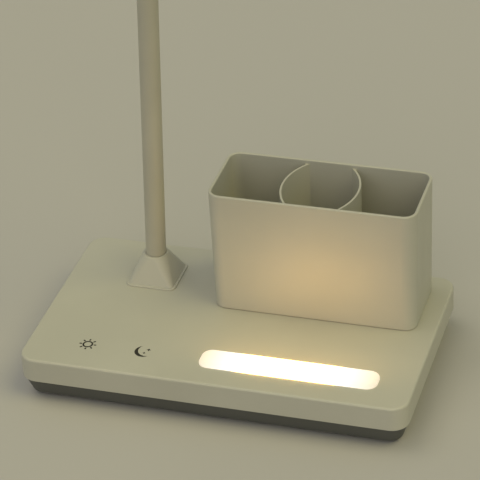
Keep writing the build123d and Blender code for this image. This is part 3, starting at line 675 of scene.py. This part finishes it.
class LAMP_OT_neck_sleeve(Operator):
    """Grow the neck's soft sleeve, one stretch over each bend"""

    bl_idname = "lamp.neck_sleeve"
    bl_label = "Neck sleeve"

    def execute(self, context):
        lamp = context.scene.desk_lamp
        neck = lamp.neck
        material = soft_sleeve("sleeve_silicone", lamp.finishes.sleeve)
        whole = neck.rise + neck.arch * math.pi / 2 + neck.reach
        pitch = (whole - neck.first_bend - neck.last_bend) / (len(BENDS) - 1)
        bends = [neck.first_bend + pitch * index for index in range(len(BENDS))]
        seams = [0.0, *[bend + pitch / 2 for bend in bends[:-1]], whole]
        mouth = (BOOT_HIGH.z - neck.root[2]) / math.cos(neck.lean)
        for index, joint in enumerate(BENDS):
            low, high = seams[index], seams[index + 1]
            sleeve = grow_sleeve(neck, f"neck_skin_{index + 1}", low, high)
            dress(sleeve, material)
            bend = Vector(joint["pos_m"])
            heading = neck_place(neck, bends[index])[1]
            reach = min(neck.bend_reach, bends[index] - max(low, mouth), high - bends[index])
            bend - heading * reach
            bend + heading * reach
            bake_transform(sleeve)
            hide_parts(f"neck_sleeve_{index + 1}")
            if index == 0:
                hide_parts("neck_sleeve_root")
        return {"FINISHED"}


class LAMP_OT_touch_marks(Operator):
    """Print the sun and the moon on the cover"""

    bl_idname = "lamp.touch_marks"
    bl_label = "Touch marks"

    def print_sun(self, marks):
        """A ring with rays: one ray stretched to its length and spun round the ring."""
        ring = printed("sun_ring", marks.ink, marks.ring_sides, marks.ring_radius, marks.sun)
        bpy.ops.mesh.inset(thickness=marks.line)
        bpy.ops.mesh.delete(type="FACE")
        thicken(ring, marks.ink)
        spot = (marks.sun[0] + marks.ray_radius, marks.sun[1])
        ray = printed("sun_rays", marks.ink, marks.ray_sides, marks.line / 2, spot)
        stretch = (marks.ray_length - marks.line) / 2
        for side in (-1.0, 1.0):
            pick(ray, "verts", lambda vertex: vertex.co.x * side > TINY)
            bpy.ops.transform.translate(value=(side * stretch, 0.0, 0.0))
        bpy.ops.mesh.select_all(action="SELECT")
        bpy.ops.mesh.spin(
            steps=marks.ray_count,
            dupli=True,
            angle=2.0 * math.pi,
            center=(marks.sun[0], marks.sun[1], TOP_Z),
            axis=(0.0, 0.0, 1.0),
        )
        tidy_normals()
        thicken(ray, marks.ink)
        return join([ring, ray], "mark_sun")

    def print_disc(self, marks, radius, depth, spot):
        """A printed disc of a depth, with its middle at a point of the cover."""
        start_fresh()
        middle_z = TOP_Z + marks.ink - INK_LAYERS * marks.ink / 2
        bpy.ops.mesh.primitive_cylinder_add(
            vertices=marks.moon_sides,
            radius=radius,
            depth=depth,
            location=(spot[0], spot[1], middle_z),
        )
        disc = bpy.context.object
        settle(disc)
        return disc

    def print_moon(self, marks):
        """A crescent, cut from a disc by a larger one, with two stars."""
        moon = self.print_disc(marks, marks.moon_radius, INK_LAYERS * marks.ink, marks.moon)
        bite_spot = [near + shift for near, shift in zip(marks.moon, marks.bite_shift)]
        bite_depth = 10 * marks.ink
        bite = self.print_disc(marks, marks.bite_radius, bite_depth, bite_spot)
        shape_with(moon, "BOOLEAN", operation="DIFFERENCE", solver="EXACT", object=bite)
        bpy.data.objects.remove(bite)
        settle(moon)
        stars = [
            print_star("star_big", marks, marks.big_star_radius, marks.big_star),
            print_star("star_small", marks, marks.small_star_radius, marks.small_star),
        ]
        return join([moon, *stars], "mark_moon")

    def execute(self, context):
        lamp = context.scene.desk_lamp
        material = moulded_plastic("mark_ink", lamp.finishes.ink, 0.5, grain=1800.0, relief=0.05)
        for mark in (self.print_sun(lamp.marks), self.print_moon(lamp.marks)):
            dress(mark, material, "base")
        return {"FINISHED"}


class LAMP_OT_base_screws(Operator):
    """Turn the four screws that hold the tray, with a cross recess in each head"""

    bl_idname = "lamp.base_screws"
    bl_label = "Base screws"

    def cut_recess(self, screw, sizes, spot):
        """Cuts a cross of two tapered arms into a screw's head."""
        arms = []
        for turn in (0.0, math.pi / 2):
            start_fresh()
            bpy.ops.mesh.primitive_cube_add(size=1.0, location=spot, rotation=(0.0, 0.0, turn))
            arm = bpy.context.object
            arm.scale = (sizes.recess_length, sizes.recess_width, 2.0 * sizes.recess_depth)
            settle(arm)
            bpy.ops.object.mode_set(mode="EDIT")
            pick(arm, "verts", lambda vertex: vertex.co.z > spot[2])
            bpy.ops.transform.resize(
                value=(sizes.recess_taper, sizes.recess_taper, 1.0), center_override=spot
            )
            bpy.ops.object.mode_set(mode="OBJECT")
            arms.append(arm)
        for arm in arms:
            shape_with(screw, "BOOLEAN", operation="DIFFERENCE", solver="EXACT", object=arm)
        for arm in arms:
            bpy.data.objects.remove(arm)

    def execute(self, context):
        lamp = context.scene.desk_lamp
        sizes = lamp.fasteners
        low, high = SCREWS_LOW, SCREWS_HIGH
        first = Vector((low.x + sizes.head_radius, low.y + sizes.head_radius, low.z))
        last = Vector((high.x - sizes.head_radius, high.y - sizes.head_radius, low.z))
        start_fresh()
        bpy.ops.mesh.primitive_cylinder_add(
            vertices=sizes.screw_sides,
            radius=sizes.head_radius,
            depth=sizes.head_height,
            location=first + Vector((0.0, 0.0, sizes.head_height / 2)),
        )
        screw = bpy.context.object
        settle(screw)
        bpy.ops.object.mode_set(mode="EDIT")
        pick(screw, "edges", lambda edge: all(end.co.z < low.z + TINY for end in edge.verts))
        bpy.ops.mesh.bevel(offset=sizes.head_rounding, segments=5, profile=0.6)
        pick(screw, "faces", lambda face: face.normal.z > FACING)
        bpy.ops.mesh.inset(thickness=sizes.head_radius - sizes.shank_radius)
        shank = high.z - low.z - sizes.head_height
        for part in (1.0 - sizes.tip_length, sizes.tip_length):
            step = (0.0, 0.0, part * shank)
            bpy.ops.mesh.extrude_region_move(TRANSFORM_OT_translate={"value": step})
        bpy.ops.transform.resize(
            value=(sizes.tip_width, sizes.tip_width, 1.0),
            center_override=(first.x, first.y, high.z),
        )
        tidy_normals()
        bpy.ops.object.mode_set(mode="OBJECT")
        self.cut_recess(screw, sizes, first)
        settle(screw)
        screws = [screw]
        for x, y in ((last.x, first.y), (first.x, last.y), (last.x, last.y)):
            hold(screw)
            bpy.ops.object.duplicate()
            copy = bpy.context.object
            copy.location = (x - first.x, y - first.y, 0.0)
            settle(copy)
            screws.append(copy)
        joined = join(screws, "base_screw_set")
        dress(joined, plated_steel("screw_steel", lamp.finishes.steel), "base")
        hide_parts("base_screws")
        return {"FINISHED"}


class LAMP_OT_inlet_pin(Operator):
    """Set the bright pin in the power inlet"""

    bl_idname = "lamp.inlet_pin"
    bl_label = "Inlet pin"

    def execute(self, context):
        lamp = context.scene.desk_lamp
        sizes = lamp.fasteners
        middle = (INLET_LOW + INLET_HIGH) / 2
        tip = INLET_HIGH.y - sizes.pin_setback
        start_fresh()
        bpy.ops.mesh.primitive_cylinder_add(
            vertices=sizes.pin_sides,
            radius=sizes.pin_radius,
            depth=sizes.pin_length,
            location=(middle.x, tip - sizes.pin_length / 2, middle.z),
            rotation=(-math.pi / 2, 0.0, 0.0),
        )
        pin = bpy.context.object
        pin.name = "inlet_pin"
        settle(pin)
        bpy.ops.object.mode_set(mode="EDIT")
        pick(pin, "edges", lambda edge: all(end.co.y > tip - TINY for end in edge.verts))
        bpy.ops.mesh.bevel(offset=sizes.pin_rounding, segments=5)
        pick(pin, "faces", lambda face: face.normal.y > FACING)
        bpy.ops.mesh.inset(thickness=sizes.pin_rim)
        inwards = (0.0, -sizes.pin_dimple, 0.0)
        bpy.ops.mesh.extrude_region_move(TRANSFORM_OT_translate={"value": inwards})
        tidy_normals()
        bpy.ops.object.mode_set(mode="OBJECT")
        settle(pin)
        dress(pin, plated_steel("pin_plating", lamp.finishes.brass), "base")
        return {"FINISHED"}


class LAMP_OT_finishes(Operator):
    """Give the lamp's solids their finishes"""

    bl_idname = "lamp.finishes"
    bl_label = "Finishes"

    def execute(self, context):
        tones = context.scene.desk_lamp.finishes
        plastic = moulded_plastic
        made = {
            "white_plastic": plastic("moulded_white", tones.white, 0.40),
            "dark_plastic": plastic("tray_grey", tones.grey, 0.55, grain=1500.0, relief=0.3),
            "sleeve": soft_sleeve("sleeve_end", tones.sleeve),
            "night_light": glowing_lens("frosted_glow", tones),
            "diffuser": plastic("frosted_diffuser", tones.diffuser, 0.5, grain=1200.0, relief=0.2),
            "steel": plated_steel("plated_steel", tones.steel),
            "lead": soft_sleeve("lead_jacket", tones.lead),
            "foot_rubber": plastic("foot_rubber", tones.rubber, 0.8, grain=900.0, relief=0.4),
            "board": printed_board("green_board", tones.board, tones.board_runs),
            "metal_board": printed_board("white_board", tones.white_board, tones.white_runs),
            "emitter": plastic("phosphor", tones.phosphor, 0.35, grain=3000.0),
            "chip": plastic("chip_epoxy", tones.epoxy, 0.5, grain=3000.0),
            "contact": plated_steel("contact_plating", tones.brass),
            "inlet": socket_plastic("inlet_black", tones.socket),
        }
        for part in frame["record"]["subparts"]:
            node = NODES[part["node"]]
            node.data.materials.clear()
            node.data.materials.append(made[part["material_slot"]])
        return {"FINISHED"}


class LAMP_OT_stage(Operator):
    """Set the floor, the light and the camera"""

    bl_idname = "lamp.stage"
    bl_label = "Stage"

    def execute(self, context):
        stage = context.scene.desk_lamp.stage
        start_fresh()
        bpy.ops.mesh.primitive_plane_add(
            size=stage.floor_size, location=(0.0, 0.0, CAD_BOX[0].z)
        )
        floor = bpy.context.object
        floor.name = "floor"
        floor.data.materials.append(pale_floor("pale_floor", stage.floor))
        context.scene.world = self.make_sky(stage)
        for name in ("top", "side", "front"):
            self.set_lamp(stage, name)
        self.set_glow(context.scene.desk_lamp)
        self.set_camera(context, stage)
        context.scene.view_settings.view_transform = "Standard"
        return {"FINISHED"}

    def make_sky(self, stage):
        """Even light from all round, behind which the camera sees a plain backdrop."""
        made = Finish("soft_sky", bpy.data.worlds)
        rays = ("Is Camera Ray", "Is Glossy Ray", "Is Transmission Ray")
        camera, glossy, through = [made.node("ShaderNodeLightPath", output=ray) for ray in rays]
        even = {"Color": stage.sky, "Strength": stage.sky_power}
        light = made.node("ShaderNodeBackground", None, even)
        backdrop = made.node("ShaderNodeBackground", None, {"Color": stage.backdrop})
        seen = {0: camera + glossy + through, 1: light, 2: backdrop}
        shown = made.node("ShaderNodeMixShader", None, seen)
        made.node("ShaderNodeOutputWorld", None, {"Surface": shown})
        return made.block

    def set_lamp(self, stage, name):
        """A wide soft lamp, far away in its direction."""
        towards = Vector(getattr(stage, f"{name}_lamp"))
        bpy.ops.object.light_add(type="SUN", location=towards)
        lamp = bpy.context.object
        lamp.name = f"{name}_lamp"
        lamp.rotation_euler = (-towards).to_track_quat("-Z", "Y").to_euler()
        lamp.data.angle = getattr(stage, f"{name}_spread")
        lamp.data.color = getattr(stage, f"{name}_tone")
        lamp.data.energy = getattr(stage, f"{name}_power")

    def set_glow(self, lamp):
        """The light that the glowing lens throws towards the box."""
        middle = (LENS_LOW + LENS_HIGH) / 2
        spot = (middle.x, middle.y, LENS_HIGH.z + lamp.stage.glow_size[1] / 2)
        turn = math.pi / 2 - lamp.stage.glow_tilt
        bpy.ops.object.light_add(type="AREA", location=spot, rotation=(turn, 0.0, 0.0))
        glow = bpy.context.object
        glow.name = "glow_lamp"
        glow.data.shape = "RECTANGLE"
        glow.data.size, glow.data.size_y = lamp.stage.glow_size
        glow.data.color = lamp.finishes.glow
        glow.data.energy = lamp.stage.glow_power

    def set_camera(self, context, stage):
        """The camera at the photograph's place and angle."""
        flat = math.cos(stage.pitch)
        ahead = Vector((
            -math.sin(stage.yaw) * flat, math.cos(stage.yaw) * flat, math.sin(stage.pitch)
        ))
        right = Vector((math.cos(stage.yaw), math.sin(stage.yaw), 0.0))
        up = right.cross(ahead)
        turned = right * math.cos(stage.roll) + up * math.sin(stage.roll)
        above = up * math.cos(stage.roll) - right * math.sin(stage.roll)
        bpy.ops.object.camera_add(location=stage.camera)
        camera = bpy.context.object
        camera.name = "photo_camera"
        camera.rotation_euler = Matrix((turned, above, -ahead)).transposed().to_euler()
        camera.data.lens = stage.lens
        camera.data.sensor_width = stage.sensor
        camera.data.clip_start = stage.nearest
        context.scene.camera = camera


class LAMP_PT_panel(Panel):
    """Lists the desk lamp's operators and settings"""

    bl_idname = "LAMP_PT_panel"
    bl_label = "Desk lamp"
    bl_space_type = "VIEW_3D"
    bl_region_type = "UI"
    bl_category = "Desk lamp"

    def draw(self, context):
        lamp = context.scene.desk_lamp
        groups = (
            (lamp.neck, (LAMP_OT_neck_sleeve,)),
            (lamp.marks, (LAMP_OT_touch_marks,)),
            (lamp.fasteners, (LAMP_OT_base_screws, LAMP_OT_inlet_pin)),
            (lamp.finishes, (LAMP_OT_finishes,)),
            (lamp.stage, (LAMP_OT_stage,)),
        )
        for group, operators in groups:
            box = self.layout.box()
            for operator in operators:
                box.operator(operator.bl_idname)
            for key in group.__annotations__:
                box.prop(group, key)


CLASSES = (
    NeckSettings,
    MarkSettings,
    FastenerSettings,
    FinishSettings,
    StageSettings,
    LampSettings,
    LAMP_OT_neck_sleeve,
    LAMP_OT_touch_marks,
    LAMP_OT_base_screws,
    LAMP_OT_inlet_pin,
    LAMP_OT_finishes,
    LAMP_OT_stage,
    LAMP_PT_panel,
)


def register():
    """Registers the classes and the scene's settings."""
    for cls in CLASSES:
        bpy.utils.register_class(cls)
    bpy.types.Scene.desk_lamp = PointerProperty(type=LampSettings)


def unregister():
    """Takes the scene's settings and the classes away again."""
    del bpy.types.Scene.desk_lamp
    for cls in reversed(CLASSES):
        bpy.utils.unregister_class(cls)


def main():
    """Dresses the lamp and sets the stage."""
    register()
    bpy.ops.lamp.finishes()
    bpy.ops.lamp.neck_sleeve()
    bpy.ops.lamp.touch_marks()
    bpy.ops.lamp.base_screws()
    bpy.ops.lamp.inlet_pin()
    bpy.ops.lamp.stage()
    start_fresh()


if __name__ == "__main__":
    main()
